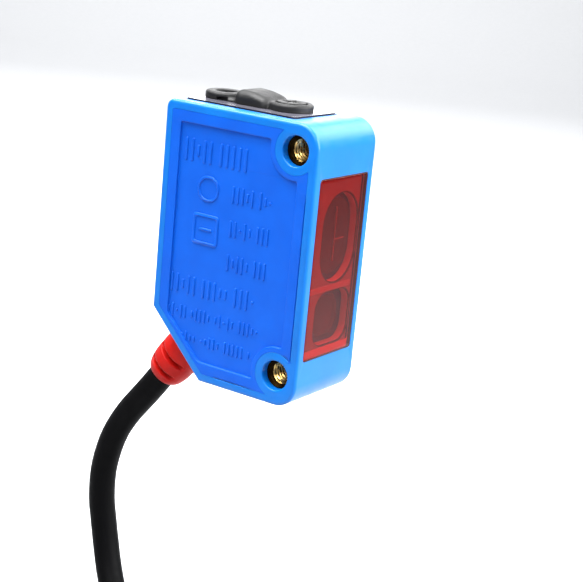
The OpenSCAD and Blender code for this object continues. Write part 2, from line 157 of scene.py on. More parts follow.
def clear(name, tint, body, share, rough=0.06, coat=0.6, specular=0.5):
    """See-through plastic: light passes with a tint, and the surface keeps its own gloss."""
    m = plastic(name, body, rough=(rough, rough + 0.04), grain=0.5, bump=0.03, coat=coat,
                specular=specular)
    nt = m.node_tree
    out = nt.nodes["Material Output"]
    see = nt.nodes.new("ShaderNodeBsdfTransparent")
    see.inputs["Color"].default_value = srgb(tint)
    mix = nt.nodes.new("ShaderNodeMixShader")
    mix.inputs[0].default_value = share
    nt.links.new(see.outputs[0], mix.inputs[1])
    nt.links.new(nt.nodes["Principled BSDF"].outputs[0], mix.inputs[2])
    nt.links.new(mix.outputs[0], out.inputs["Surface"])
    return m


BLUE = plastic("housing_blue", "0068C0", "0061B6", rough=(0.3, 0.4), grain=2.2, bump=0.12,
               specular=0.36)
BLUE_COVER = plastic("cover_blue", "0054C2", "004DB8", rough=(0.36, 0.48), grain=3.5, bump=0.16,
                     specular=0.25)
BRASS = plastic("brass", "F4D08A", "D8A850", rough=(0.2, 0.34), grain=1.5, bump=0.1, metallic=1.0)
# Dark brass: painted shade at the ends of the bores and in the thread's roots
BRASS_PAINTED_SHADE = plastic("brass_painted_shade", "2A1C0A", "140D05", rough=(0.4, 0.55), grain=1.5, bump=0.1,
                     metallic=1.0)
WINDOW = clear("window_red", "FC5450", "4A0A08", 0.3, rough=0.05, coat=0.65, specular=0.5)
WINDOW_BACK = clear("window_back", "FBE9E6", "7A1410", 0.03, rough=0.08, coat=0.0)
# The lenses' dark grey body is painted shade: it stands for the dark chambers seen through the clear
# plastic
LENS = clear("lens_clear", "D0C8C4", "463E3C", 0.7, rough=0.2, coat=0.0, specular=0.2)
GUIDE = clear("guide_clear", "F4F4F4", "C8C8C8", 0.5)
RUBBER = plastic("black_rubber", "14161C", "0C0E14", rough=(0.55, 0.7), grain=4, bump=0.3)
HOLDER = plastic("holder", "7A7674", "6A6664", rough=(0.45, 0.6), grain=4, bump=0.2)
GASKET = plastic("gasket_white", "C2BEBC", "B4B0AE", rough=(0.45, 0.6), grain=4, bump=0.2)
# Paler grey for the bar between the lens openings: painted light
BRIDGE_PAINTED_LIGHT = plastic("bridge_painted_light_grey", "9C9692", "8C8682", rough=(0.4, 0.55), grain=4, bump=0.2)
SEAM = plastic("panel_seam", "10142A", "0A0C1C", rough=(0.5, 0.65), grain=4, bump=0.2, specular=0.25)
# Near-black for painted shade: the joint round the pane, a ring round each lens opening and the
# chambers behind the lenses
PAINTED_SHADE = plastic("painted_shade_black", "1A1214", "120C0E", rough=(0.5, 0.65), grain=4, bump=0.3)
SMOKE = plastic("smoked_panel", "56555E", "4C4B54", rough=(0.18, 0.26), grain=0.8, bump=0.03,
                coat=0.35, specular=0.55)
BEZEL = plastic("bezel_black", "101011", "09090A", rough=(0.46, 0.6), grain=6, bump=0.9,
                bump_mm=0.04, specular=0.36)
RELIEF = plastic("relief_red", "B20F08", "8E0A05", rough=(0.42, 0.56), grain=2.5, bump=0.3,
                 subsurface=0.05, bump_mm=0.03, specular=0.14)
CABLE = plastic("cable_black", "040405", "030304", rough=(0.5, 0.65), grain=3, bump=0.25,
                bump_mm=0.015, specular=0.05)
BROWN = plastic("wire_brown", "6E3B1E", "5C2F16", rough=(0.35, 0.45), grain=3)
BLACK = plastic("wire_black", "202022", "18181A", rough=(0.35, 0.45), grain=3)
WIRE_BLUE = plastic("wire_blue", "1B4FB8", "1643A0", rough=(0.35, 0.45), grain=3)
TINNED = plastic("tinned_copper", "D8D4CC", "B8B0A4", rough=(0.2, 0.35), grain=4, metallic=1.0)
NYLON = plastic("tie_nylon", "0E0E0F", "0A0A0B", rough=(0.4, 0.5), grain=3, bump=0.2, specular=0.3)
BOARD = plastic("board_green", "0E5A32", "0A4A28", rough=(0.25, 0.4), grain=1.5, bump=0.3)
CHIP = plastic("component_black", "1E1E20", "161618", rough=(0.5, 0.65), grain=6, bump=0.3)
CERAMIC = plastic("ceramic", "B89468", "A5825A", rough=(0.4, 0.55), grain=4)
CAN = plastic("steel_can", "C8CACC", "B4B6BA", rough=(0.22, 0.36), grain=2, metallic=1.0)
FLEX = plastic("flex_film", "D98A2B", "C87A20", rough=(0.2, 0.3), grain=2)
LED_O = plastic("led_orange", "FF9A2E", "F08A20", rough=(0.15, 0.25), grain=1)
LED_G = plastic("led_green", "6BE05A", "5AD04A", rough=(0.15, 0.25), grain=1)
LED_R = plastic("led_red", "E03A30", "D02A20", rough=(0.15, 0.25), grain=1)
WHITE = plastic("white_plastic", "E8E8E2", "DCDCD4", rough=(0.4, 0.5), grain=3)
TRIMMER = plastic("trimmer_blue", "2C5AA0", "264E8C", rough=(0.4, 0.5), grain=3)
SWITCH = plastic("switch_grey", "66686C", "5A5C60", rough=(0.45, 0.55), grain=3)

# The CAD's own meshes stay for these nodes, which are inside the housing
FINISH = {
    "optics_board": BOARD, "photodiode": CHIP, "emitter_led": LED_R,
    "shield_can": CAN, "main_pcb": BOARD, "sensor_asic": CHIP, "output_transistor": CHIP,
    "voltage_regulator": CHIP, "capacitors": CERAMIC, "board_flex": FLEX, "control_pcb": BOARD,
    "led_orange": LED_O, "led_green": LED_G, "light_guide": GUIDE,
    "shaft_seals": RUBBER, "trimmer_rotor": WHITE, "trimmer_body": TRIMMER, "switch_rotor": WHITE,
    "switch_body": SWITCH, "core_brown": BROWN, "core_black": BLACK, "core_blue": WIRE_BLUE}
for name, material in FINISH.items():
    nodes[name].data.materials.clear()
    nodes[name].data.materials.append(material)


# ---------------------------------------------------------------- loops in a plane

def arc(cx, cy, r, a0, a1, n):
    """Points of an arc from a0 to a1 degrees."""
    a = np.radians(np.linspace(a0, a1, n))
    return np.stack([cx + r*np.cos(a), cy + r*np.sin(a)], 1)


def circle(cx, cy, r, n=64):
    return arc(cx, cy, r, 0, 360 - 360/n, n)


def rounded(w, h, r, cx=0.0, cy=0.0, n=9):
    """Rectangle with round corners, anticlockwise."""
    x, y = w/2 - r, h/2 - r
    return np.concatenate([arc(cx + x, cy + y, r, 0, 90, n), arc(cx - x, cy + y, r, 90, 180, n),
                           arc(cx - x, cy - y, r, 180, 270, n), arc(cx + x, cy - y, r, 270, 360, n)])


def body_loop(i, slant=None):
    """The housing's side outline in Y and Z, moved inwards by i, or by slant at the slanted
    corner, anticlockwise seen from +X."""
    s = i if slant is None else slant
    fr, rr = 2.8 - i, max(1 - i, 0.3)
    f, b, t, e = FRONT + i, BASE + i, TOP - i, REAR - i
    length = math.hypot(CUT_Z, CUT_Y)
    cz = BASE + CUT_Z + (s*length - i*CUT_Z)/CUT_Y
    cy = REAR - CUT_Y - (s*length - i*CUT_Y)/CUT_Z
    return np.concatenate([arc(f + fr, b + fr, fr, 180, 270, 13), [[cy, b]], [[e, cz]],
                           arc(e - rr, t - rr, rr, 0, 90, 9), arc(f + fr, t - fr, fr, 90, 180, 13)])


def soften(loop, cut, n=5, limit=20):
    """Rounds each corner sharper than limit degrees, cutting back by cut along both sides."""
    k = len(loop)
    step = np.roll(loop, -1, 0) - loop
    lengths = np.linalg.norm(step, axis=1)
    starts = np.concatenate([[0], np.cumsum(lengths)])
    total = starts[-1]
    heading = np.arctan2(step[:, 1], step[:, 0])
    turn = np.degrees((heading - np.roll(heading, 1) + math.pi) % (2*math.pi) - math.pi)
    corners = [i for i in range(k) if abs(turn[i]) > limit]

    def at(s):
        s = s % total
        i = min(np.searchsorted(starts, s, "right") - 1, k - 1)
        return loop[i] + step[i]*((s - starts[i])/lengths[i])

    out = []
    for i in range(k):
        s = starts[i]
        near = [c for c in corners if min(abs(s - starts[c]), total - abs(s - starts[c])) < cut*1.02]
        if i in corners:
            a, b = at(s - cut), at(s + cut)
            for j in range(n + 1):
                t = j/n
                out.append((1 - t)**2*a + 2*t*(1 - t)*loop[i] + t*t*b)
        elif not near:
            out.append(loop[i])
    return np.array(out)


def inset(loop, d):
    """Moves an anticlockwise loop inwards by d at every corner."""
    before, after = loop - np.roll(loop, 1, 0), np.roll(loop, -1, 0) - loop
    before = before/np.linalg.norm(before, axis=1, keepdims=True)
    after = after/np.linalg.norm(after, axis=1, keepdims=True)
    na = np.stack([-before[:, 1], before[:, 0]], 1)
    nb = np.stack([-after[:, 1], after[:, 0]], 1)
    mid = na + nb
    return loop + d*mid*(2/np.maximum((mid**2).sum(1), 0.5))[:, None]


def minus_disc(loop, cy, cz, r, n=26):
    """Cuts a disc out of an anticlockwise loop: the run inside the disc becomes an arc."""
    inside = np.hypot(loop[:, 0] - cy, loop[:, 1] - cz) < r
    k = len(loop)
    first = next(i for i in range(k) if inside[i] and not inside[i - 1])
    run = [(first + j) % k for j in range(k)]
    count = next(j for j in range(k) if not inside[run[j]])
    enter, leave = run[0], run[count]

    def crossing(p, q):
        d, c = q - p, p - np.array((cy, cz))
        a, b, e = d @ d, 2*c @ d, c @ c - r*r
        root = math.sqrt(b*b - 4*a*e)
        t = [x for x in ((-b - root)/(2*a), (-b + root)/(2*a)) if -1e-9 <= x <= 1 + 1e-9][0]
        return p + d*t

    p = crossing(loop[enter - 1], loop[enter])
    q = crossing(loop[run[count - 1]], loop[leave])
    a0 = math.degrees(math.atan2(p[1] - cz, p[0] - cy))
    a1 = math.degrees(math.atan2(q[1] - cz, q[0] - cy))
    if a1 > a0:
        a1 -= 360
    keep = [loop[run[j]] for j in range(count, k)]
    return np.concatenate([np.array(keep), arc(cy, cz, r, a0, a1, n)])


def with_bosses(i, slant, r):
    """The housing's outline moved inwards, with a disc of radius r cut out at each hole."""
    loop = body_loop(i, slant)
    dense = []
    for p, q in zip(loop, np.roll(loop, -1, 0)):
        m = max(1, int(np.linalg.norm(q - p)/0.5))
        dense += [p + (q - p)*j/m for j in range(m)]
    loop = np.array(dense)
    for z in HOLES:
        loop = minus_disc(loop, 0, z, r)
    return loop


# ---------------------------------------------------------------- mesh building

class Skin:
    """Collects rings, strips and filled flats, then welds them into one smooth-shaded piece."""

    def __init__(self):
        self.points, self.faces, self.second = [], [], set()

    def ring(self, points):
        """Adds points and gives their numbers."""
        start = len(self.points)
        self.points += [tuple(p) for p in points]
        return list(range(start, len(self.points)))

    def strip(self, a, b, closed=True):
        """Quads between two rings of the same length."""
        n = len(a)
        for i in range(n if closed else n - 1):
            j = (i + 1) % n
            self.faces.append((a[i], a[j], b[j], b[i]))

    def rings(self, place, levels, closed=True):
        """Strips through loops given as (loop, height), put in space by place(u, v, h)."""
        made = [self.ring([place(u, v, h) for u, v in loop]) for loop, h in levels]
        for a, b in zip(made, made[1:]):
            self.strip(a, b, closed)
        return made

    def fill(self, *loops):
        """A flat bounded by the first loop, with the others as holes."""
        flat = [i for loop in loops for i in loop]
        for t in tessellate_polygon([[Vector(self.points[i]) for i in loop] for loop in loops]):
            self.faces.append(tuple(flat[i] for i in t))

    def since(self, number):
        """Gives the faces made since a count of faces the second material."""
        self.second.update(range(number, len(self.faces)))

    def piece(self, name, material, body=BODY, sharp=40, weld=0.0005, second=None):
        """Makes the object: edges over sharp degrees stay sharp, second colours the marked faces."""
        mesh = bpy.data.meshes.new(name)
        bm = bmesh.new()
        made = [bm.verts.new(Vector(p)*MM) for p in self.points]
        for number, f in enumerate(self.faces):
            corners = list(dict.fromkeys(f))
            if len(corners) > 2:
                try:
                    face = bm.faces.new([made[i] for i in corners])
                    face.material_index = number in self.second
                except ValueError:
                    pass
        bmesh.ops.remove_doubles(bm, verts=bm.verts, dist=weld*MM)
        loose = [v for v in bm.verts if not v.link_faces]
        bmesh.ops.delete(bm, geom=loose, context="VERTS")
        bmesh.ops.recalc_face_normals(bm, faces=bm.faces)
        for f in bm.faces:
            f.smooth = True
        for e in bm.edges:
            e.smooth = len(e.link_faces) != 2 or e.calc_face_angle(0) < math.radians(sharp)
        bm.to_mesh(mesh)
        bm.free()
        mesh.materials.append(material)
        if second:
            mesh.materials.append(second)
        obj = bpy.data.objects.new(name, mesh)
        bpy.context.scene.collection.objects.link(obj)
        w = obj.modifiers.new("weighted", "WEIGHTED_NORMAL")
        w.keep_sharp = True
        w.weight = 90
        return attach(obj, body)


def rim(loops, q, h, steps=4):
    """Levels of a rounded edge of radius q: loops(d) is the loop moved outwards by d. They run
    from the flat at height h down into the wall."""
    levels = []
    for k in range(steps + 1):
        a = math.radians(90*k/steps)
        levels.append((loops(q*(1 - math.sin(a))), h - q*(1 - math.cos(a))))
    return levels


# Each of these puts a point of a loop in space: h is its distance outwards along the face's axis
def on_front(u, v, h):
    return (u, -h, v)


def on_top(u, v, h):
    return (u, v, h)


def on_cover(u, v, h):
    return (-h, u, v)


def on_closed(u, v, h):
    return (h, u, v)


def polish(f, p, cell, rounds=4):
    """Moves points onto the surface where f is zero."""
    e = cell*0.25
    for _ in range(rounds):
        x, y, z = p.T
        d = f(x, y, z)
        g = np.stack([f(x + e, y, z) - f(x - e, y, z), f(x, y + e, z) - f(x, y - e, z),
                      f(x, y, z + e) - f(x, y, z - e)], 1)/(2*e)
        step = g*(d/np.maximum((g*g).sum(1), 0.2))[:, None]
        size = np.linalg.norm(step, axis=1, keepdims=True)
        p = p - step*np.minimum(1, 0.5*cell/np.maximum(size, 1e-9))
    return p


def sculpt(f, low, high, cell):
    """Points and quads of the surface where f(x, y, z) is zero, one point in each crossed cell."""
    axes = [np.arange(a, b + cell, cell) for a, b in zip(low, high)]
    gx, gy, gz = np.meshgrid(*axes, indexing="ij")
    distance = f(gx, gy, gz)
    grid = np.stack([gx, gy, gz], -1)
    shape = distance.shape

    def corner(offset):
        """The part of the grid that holds one corner of every cell."""
        return tuple(slice(o, n - 1 + o) for o, n in zip(offset, shape))

    total = np.zeros((shape[0] - 1, shape[1] - 1, shape[2] - 1, 3))
    count = np.zeros(total.shape[:3])
    offsets = [(i, j, k) for i in (0, 1) for j in (0, 1) for k in (0, 1)]
    for a in offsets:
        for b in offsets:
            if b > a and sum(abs(u - v) for u, v in zip(a, b)) == 1:
                da, db = distance[corner(a)], distance[corner(b)]
                hit = (da < 0) != (db < 0)
                t = np.where(hit, da/np.where(hit, da - db, 1), 0)[..., None]
                total += np.where(hit[..., None], grid[corner(a)]*(1 - t) + grid[corner(b)]*t, 0)
                count += hit
    used = count > 0
    index = np.full(used.shape, -1)
    index[used] = np.arange(used.sum())
    points = total[used]/count[used][:, None]
    solid = distance < 0
    quads = []
    unit = np.eye(3, dtype=int)
    for axis in range(3):
        o1, o2 = unit[axis - 1], unit[axis - 2]
        near = solid[tuple(slice(0 if i == axis else 1, n - 1) for i, n in enumerate(shape))]
        far = solid[tuple(slice(1, n if i == axis else n - 1) for i, n in enumerate(shape))]
        where = np.argwhere(near != far)
        base = where + np.array([0 if i == axis else 1 for i in range(3)])
        around = [base - o1 - o2, base - o2, base, base - o1]
        quad = np.stack([index[tuple(p.T)] for p in around], 1)
        inside = near[tuple(where.T)]
        quad[inside] = quad[inside][:, ::-1]
        quads.append(quad)
    return polish(f, points, cell), np.concatenate(quads)


def carved(name, f, low, high, cell, material, body=BODY, place=None):
    """A piece from a distance function, smooth all over."""
    points, quads = sculpt(f, low, high, cell)
    if place is not None:
        points = np.array([place(*p) for p in points])
    mesh = bpy.data.meshes.new(name)
    mesh.from_pydata([tuple(p) for p in points*MM], [], [tuple(int(i) for i in q) for q in quads])
    bm = bmesh.new()
    bm.from_mesh(mesh)
    bmesh.ops.recalc_face_normals(bm, faces=bm.faces)
    for face in bm.faces:
        face.smooth = True
    bm.to_mesh(mesh)
    bm.free()
    mesh.materials.append(material)
    obj = bpy.data.objects.new(name, mesh)
    bpy.context.scene.collection.objects.link(obj)
    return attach(obj, body)


# Distance functions, negative inside
def sd_box(x, y, z, c, half, r):
    """Box round c with half sizes, with edges rounded by r."""
    qx, qy, qz = [abs(p - q) - s + r for p, q, s in zip((x, y, z), c, half)]
    out = np.sqrt(np.maximum(qx, 0)**2 + np.maximum(qy, 0)**2 + np.maximum(qz, 0)**2)
    return out + np.minimum(np.maximum(qx, np.maximum(qy, qz)), 0) - r


def sd_drum(rho, h, radius, low, high, r):
    """Cylinder of a radius between two heights, with edges rounded by r."""
    qx, qz = rho - radius + r, abs(h - (low + high)/2) - (high - low)/2 + r
    out = np.sqrt(np.maximum(qx, 0)**2 + np.maximum(qz, 0)**2)
    return out + np.minimum(np.maximum(qx, qz), 0) - r


def join(a, b, k):
    """Both shapes in one, blended over k."""
    h = np.maximum(k - abs(a - b), 0)/k
    return np.minimum(a, b) - h*h*k/4


def carve(a, b, k):
    """a with b cut out of it, the edge eased by k."""
    return -join(-a, b, k)


# ---------------------------------------------------------------- cord

def ease(t):
    """0 to 1 with a soft start and end."""
    t = min(max(t, 0), 1)
    return t*t*(3 - 2*t)


def slot_place(i):
    """Column and radius of each turn: down one column, up the next."""
    column, row = divmod(i, 4)
    return COLUMNS[column], RADII[row if column % 2 == 0 else 3 - row]


def spline(points, per):
    """Catmull-Rom through the points."""
    p = [np.array(q, float) for q in points]
    p = [2*p[0] - p[1]] + p + [2*p[-1] - p[-2]]
    out = []
    for i in range(1, len(p) - 2):
        for j in range(per):
            t = j/per
            out.append(0.5*((2*p[i]) + (-p[i - 1] + p[i + 1])*t
                            + (2*p[i - 1] - 5*p[i] + 4*p[i + 1] - p[i + 2])*t*t
                            + (-p[i - 1] + 3*p[i] - 3*p[i + 1] + p[i + 2])*t**3))
    return out


def winding():
    """The coil's centreline: every turn at its own place, moving over at its end."""
    points = []
    per_turn = 32
    steps = int(TURNS*per_turn)
    for k in range(1, steps + 1):
        turn = k/per_turn
        i = min(int(turn), 15)
        x0, r0 = slot_place(i)
        x, r = x0, r0
        part = turn - i
        if i < 15 and part > 0.8:
            x1, r1 = slot_place(i + 1)
            t = ease((part - 0.8)/0.2)
            x, r = x0 + (x1 - x0)*t, r0 + (r1 - r0)*t
        a = math.radians(90) + 2*math.pi*turn
        points.append(np.array((x, COIL_Y + r*math.cos(a), COIL_Z + r*math.sin(a))))
    return points


inner = [tuple(p) for p in ROUTE]
coil = winding()
end = coil[-1]
tail = [np.array((end[0], end[1], end[2] - d)) for d in (2.2, 4.4, 6.6, 8.8, 11, TAIL)]
line = spline(inner, 3) + [np.array(ROUTE[-1])] + coil[1:] + tail

data = bpy.data.curves.new("cord", "CURVE")
data.dimensions = "3D"
data.bevel_depth = CABLE_R*MM
data.bevel_resolution = 5
data.use_fill_caps = True
sp = data.splines.new("POLY")
sp.points.add(len(line) - 1)
for point, p in zip(sp.points, line):
    point.co = (*(p*MM), 1)
sp.use_smooth = True
data.materials.append(CABLE)
cord = bpy.data.objects.new("cord", data)
bpy.context.scene.collection.objects.link(cord)
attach(cord, BODY)
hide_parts("cable", "cable_coil")

# Ties: a ribbed band round the turns, with a head
TIE_CORNER = 1.5
for number, angle in enumerate((118, 298)):
    a = math.radians(angle)
    outward = np.array((0, math.cos(a), math.sin(a)))
    along = np.array((0, -math.sin(a), math.cos(a)))
    middle = np.array((0, COIL_Y, COIL_Z)) + COIL_R*outward

    def in_tie(u, v, h, middle=middle, outward=outward, along=along):
        return middle + np.array((u, 0, 0)) + v*outward + h*along

    half = 1.5*PITCH + CABLE_R

    def tie_shape(x, y, z, half=half):
        across, deep = abs(x) - half + TIE_CORNER, abs(y) - half + TIE_CORNER
        ring = np.sqrt(np.maximum(across, 0)**2 + np.maximum(deep, 0)**2)
        ring = ring + np.minimum(np.maximum(across, deep), 0) - TIE_CORNER
        ribs = 0.08*np.cos(2*math.pi*x/0.8)*(abs(z) < 0.8)*(y > 0)
        band = np.maximum(abs(ring - 0.45) - 0.4 + ribs, abs(z) - 1.25)
        head = sd_box(x, y, z, (half - 2.2, half + 0.2, 0), (1.9, 1.2, 1.3), 0.3)
        return join(band, head, 0.15)

    tie = carved("coil_tie_%d" % (number + 1), tie_shape, (-half - 1.4, -half - 1.4, -1.7),
                 (half + 1.4, half + 1.8, 1.7), 0.16, NYLON, place=in_tie)
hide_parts("coil_ties")

# Free conductors: insulation with a tinned end, slightly fanned out
tip = line[-1]
SECTIONS, SPOKES = 15, 28
for colour, x, y, material, bend in (("brown", -0.6, -0.4, BROWN, -1),
                                     ("blue", 0.6, -0.4, WIRE_BLUE, 1),
                                     ("black", 0, 0.75, BLACK, 0)):
    for kind, z0, z1, r, finish in (("insulation", -0.6, 14, 0.5, material),
                                    ("strands", 13.8, LEAD, 0.3, TINNED)):
        s = Skin()
        rings = []
        for k in range(SECTIONS):
            t = z0 + (z1 - z0)*k/(SECTIONS - 1)
            lean = 0.9*(max(t, 0)/LEAD)**2
            cx, cy = tip[0] + x + bend*lean*0.8, tip[1] + y + (0.6 if bend == 0 else -0.3)*lean
            twist = t*0.9 if kind == "strands" else 0
            ring = []
            for j in range(SPOKES):
                a = 2*math.pi*j/SPOKES
                rr = r*(1 + (0.1*math.cos(7*(a + twist)) if kind == "strands" else 0))
                ring.append((cx + rr*math.cos(a), cy + rr*math.sin(a), tip[2] - t))
            rings.append(s.ring(ring))
        for p, q in zip(rings, rings[1:]):
            s.strip(p, q)
        s.fill(rings[0])
        s.fill(rings[-1])
        wire = s.piece("lead_%s_%s" % (colour, kind), finish)
        if kind == "insulation":
            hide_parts("lead_" + colour)

# ---------------------------------------------------------------- strain relief

RELIEF_R, RELIEF_LEN, NOSE = 2.7, 8.6, 3.1
side_x = np.array((1.0, 0, 0))
relief_w = np.cross(EXIT_AXIS, side_x)


def on_exit(x, y, z):
    """Places a point given along the side, across and along the exit axis."""
    return EXIT + x*side_x + y*relief_w + z*EXIT_AXIS


def relief_shape(x, y, z):
    """Round-nosed body with two pairs of flexing slots and the bore for the cable."""
    rho = np.sqrt(x*x + y*y)
    nose = np.clip((z - (RELIEF_LEN - NOSE))/NOSE, 0, 1)
    profile = CABLE_R + 0.3 + (RELIEF_R - CABLE_R - 0.3)*np.sqrt(np.maximum(1 - nose**2, 0))
    body = np.maximum(rho - profile, np.maximum(z - RELIEF_LEN, -2.1 - z))
    body = -join(-body, -(z - RELIEF_LEN + 0.02), 0.15)
    for k in (0, 1):
        at = 4.85 + 2.2*k
        for sign in (-1, 1):
            slot = sd_box(x, y, z, (sign*(RELIEF_R + 0.3), 0, at), (1.4, 2.4, 0.32), 0.2)
            body = carve(body, slot, 0.14)
    return carve(body, rho - CABLE_R - 0.03, 0.1)


relief = carved("strain_relief_body", relief_shape, (-3.1, -3.1, -2.4), (3.1, 3.1, RELIEF_LEN + 0.3),
                0.11, RELIEF, place=on_exit)
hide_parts("strain_relief")

# ---------------------------------------------------------------- housing

EDGE = 0.38  # radius of the outer edges
s = Skin()
outer = {}
for sign, place in ((1, on_closed), (-1, on_cover)):
    outer[sign] = s.rings(place, rim(body_loop, EDGE, SIDE))
plus, minus = outer[1][-1], outer[-1][-1]
corner_count = len(plus)
loop0 = body_loop(0)
# Between the two sides: the long flats with openings are kept for later, the rest is closed
named = {}
for i in range(corner_count):
    j = (i + 1) % corner_count
    mid = (loop0[i] + loop0[j])/2
    size = np.linalg.norm(loop0[i] - loop0[j])
    if size > 5 and abs(mid[0] - FRONT) < 0.01:
        named["front"] = (i, j)
    elif size > 5 and abs(mid[1] - TOP) < 0.01:
        named["top"] = (i, j)
    elif size > 5 and 10.7 < mid[0] < 18 and mid[1] < -9:
        named["slant"] = (i, j)
    else:
        s.faces.append((minus[i], minus[j], plus[j], plus[i]))


def frame_of(key):
    """The four corners of one of the housing's long flats."""
    i, j = named[key]
    return [minus[i], minus[j], plus[j], plus[i]]


# window seat
step, ledge = rounded(9.8, 20.7, 0.4, 0, WINDOW_Z), rounded(9.3, 20.2, 0.3, 0, WINDOW_Z)
seat = s.rings(on_front,
               rim(lambda d: rounded(9.8 + 2*d, 20.7 + 2*d, 0.4 + d, 0, WINDOW_Z), 0.1, -FRONT)
               + [(step, 1.93), (ledge, 1.93), (ledge, 1.1)])
s.fill(frame_of("front"), seat[0])
# panel seat
step, ledge = rounded(8.8, 15.4, 0.6, 0, PANEL_Y), rounded(7.4, 14, 0.4, 0, PANEL_Y)
seat = s.rings(on_top, rim(lambda d: rounded(8.8 + 2*d, 15.4 + 2*d, 0.6 + d, 0, PANEL_Y), 0.04, TOP)
               + [(step, PANEL_SEAT), (ledge, PANEL_SEAT), (ledge, 14.2)])
s.fill(frame_of("top"), seat[0])
# cable exit, drawn where the slanted face cuts the bore
n_out = np.array((0, CUT_Z, -CUT_Y))/math.hypot(CUT_Z, CUT_Y)


def exit_ring(r, deep):
    """A ring of radius r round the exit axis, deep below the slanted face."""
    out = []
    for k in range(48):
        a = 2*math.pi*k/48
        p = r*(math.cos(a)*side_x + math.sin(a)*relief_w)
        out.append(EXIT + p - EXIT_AXIS*((p @ n_out)/(EXIT_AXIS @ n_out) + deep))
    return s.ring(out)


BORE_R = 2.75
exit_rings = [exit_ring(r, -h) for r, h in rim(lambda d: BORE_R + d, 0.14, 0, steps=3)]
exit_rings.append(exit_ring(BORE_R, 1.9))
for p, q in zip(exit_rings, exit_rings[1:]):
    s.strip(p, q)
s.fill(frame_of("slant"), exit_rings[0])
# mounting bores with their plastic mouths
mouths = {}
for z in HOLES:
    for sign, place in ((1, on_closed), (-1, on_cover)):
        made = s.rings(place, rim(lambda d: circle(0, z, 1.7 + d), 0.16, SIDE)
                       + [(circle(0, z, 1.7), 5), (circle(0, z, 2.05), 5)])
        mouths[sign, z] = made
    s.strip(mouths[1, z][-1], mouths[-1, z][-1])
s.fill(outer[1][0], mouths[1, HOLES[0]][0], mouths[1, HOLES[1]][0])
opening = soften(with_bosses(1.0, 1.0, 2.65), 0.25)


# The joint round the cover is narrow at the rear and the top, and gapes where this is 1
def openness(y, z):
    """1 along the front and the foremost underside, 0 elsewhere, with soft ends."""
    front_part = np.clip((-0.9 - y)/0.2, 0, 1)*np.clip((8.2 - z)/1.5, 0, 1)
    lower_part = np.clip((8.6 - y)/0.6, 0, 1)*np.clip((y - 3.2)/0.6, 0, 1)
    lower_part = lower_part*np.clip((-13 - z)/0.5, 0, 1)
    return np.maximum(front_part, lower_part)


GROOVE = (0.06 + 0.94*openness(opening[:, 0], opening[:, 1]))[:, None]
cover_rings = s.rings(on_cover, rim(lambda d: inset(opening, -d*GROOVE), 0.1, SIDE)
                      + [(opening, 4.75), (inset(opening, 0.45), 4.75), (inset(opening, 0.45), -4.7)])
s.fill(outer[-1][0], cover_rings[0], mouths[-1, HOLES[0]][0], mouths[-1, HOLES[1]][0])
s.fill(cover_rings[-1])
housing = s.piece("housing_shell", BLUE)
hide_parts("main_housing")

# ---------------------------------------------------------------- side cover and its marks

s = Skin()
plate = inset(opening, 0.012 + 0.05*GROOVE)
top_rings = s.rings(on_cover, rim(lambda d: inset(plate, d*GROOVE), 0.12, SIDE) + [(plate, 4.85)])
field = soften(with_bosses(2.3, 1.45, 3.25), 0.45, n=6)
FLOOR = SIDE - 0.3  # the sunken field
steps = rim(lambda d: inset(field, -d), 0.07, SIDE)
steps += [(inset(field, 0.06*(1 - math.cos(math.radians(90*k/4)))),
           FLOOR + 0.06*(1 - math.sin(math.radians(90*k/4)))) for k in range(5)]
field_rings = s.rings(on_cover, steps)
s.fill(top_rings[0], field_rings[0])
s.fill(field_rings[-1])
s.fill(top_rings[-1])
cover = s.piece("cover_plate", BLUE_COVER)
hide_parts("side_cover")

# Generic raised strokes, in rows and groups, with no lettering
s = Skin()
MARK = 0.13  # how far the marks stand up


def stroke(y, z, w, h):
    """One raised bar with round ends, w by h, centred at y, z."""
    r = 0.45*min(w, h)
    made = s.rings(on_cover, [(rounded(w + 2*d, h + 2*d, max(r + d, 0.02), y, z, n=4), FLOOR + up_by)
                              for d, up_by in ((-0.06, MARK), (-0.02, MARK - 0.02), (0, MARK - 0.06),
                                               (0.03, -0.03))])
    s.fill(made[0])


rng = random.Random(7)


def row(y0, y1, z, tall, pitch, weight=0.3):
    """A row of strokes from y1 down to y0, in small groups."""
    y = y1
    run = 0
    while y > y0:
        kind = rng.random()
        if kind < 0.62:
            stroke(y, z, weight, tall)
        elif kind < 0.86:
            stroke(y, z, weight, tall*0.5)
        else:
            stroke(y, z, weight, weight*1.1)
        run += 1
        y -= pitch*(1.7 if run % 5 == 0 else 1)


row(5.4, 14.9, 10.5, 2.6, 0.86, 0.34)
for k in range(3):
    row(2.5 + 0.15*k, 7.9, 6.4 - 3.9*k, 1.9, 0.66, 0.26)
row(3.4, 15.6, -5.2, 2.2, 0.8, 0.3)
row(2.6, 15.8, -8.5, 1.5, 0.6, 0.24)
row(3.6, 14.2, -11.4, 1.4, 0.6, 0.24)
# A plain square frame and a plain ring
for zc, size, width, corners in ((1.7, 3.6, 0.35, (0.4, 0.25)), (6.4, 3.0, 0.3, (1.44, 1.14))):
    pair = []
    for side_sign, across, corner in ((1, size, corners[0]), (-1, size - 2*width, corners[1])):
        pair.append(s.rings(on_cover, [
            (rounded(across + 2*side_sign*e, across + 2*side_sign*e, corner, 11.4, zc), FLOOR + h)
            for e, h in ((-0.04, MARK), (0, MARK - 0.05), (0.02, -0.03))]))
    s.fill(pair[0][0], pair[1][0])
stroke(11.4, 1.7, 1.7, 0.3)
marks = s.piece("cover_marks", BLUE_COVER, sharp=60)

# ---------------------------------------------------------------- brass inserts with their threads

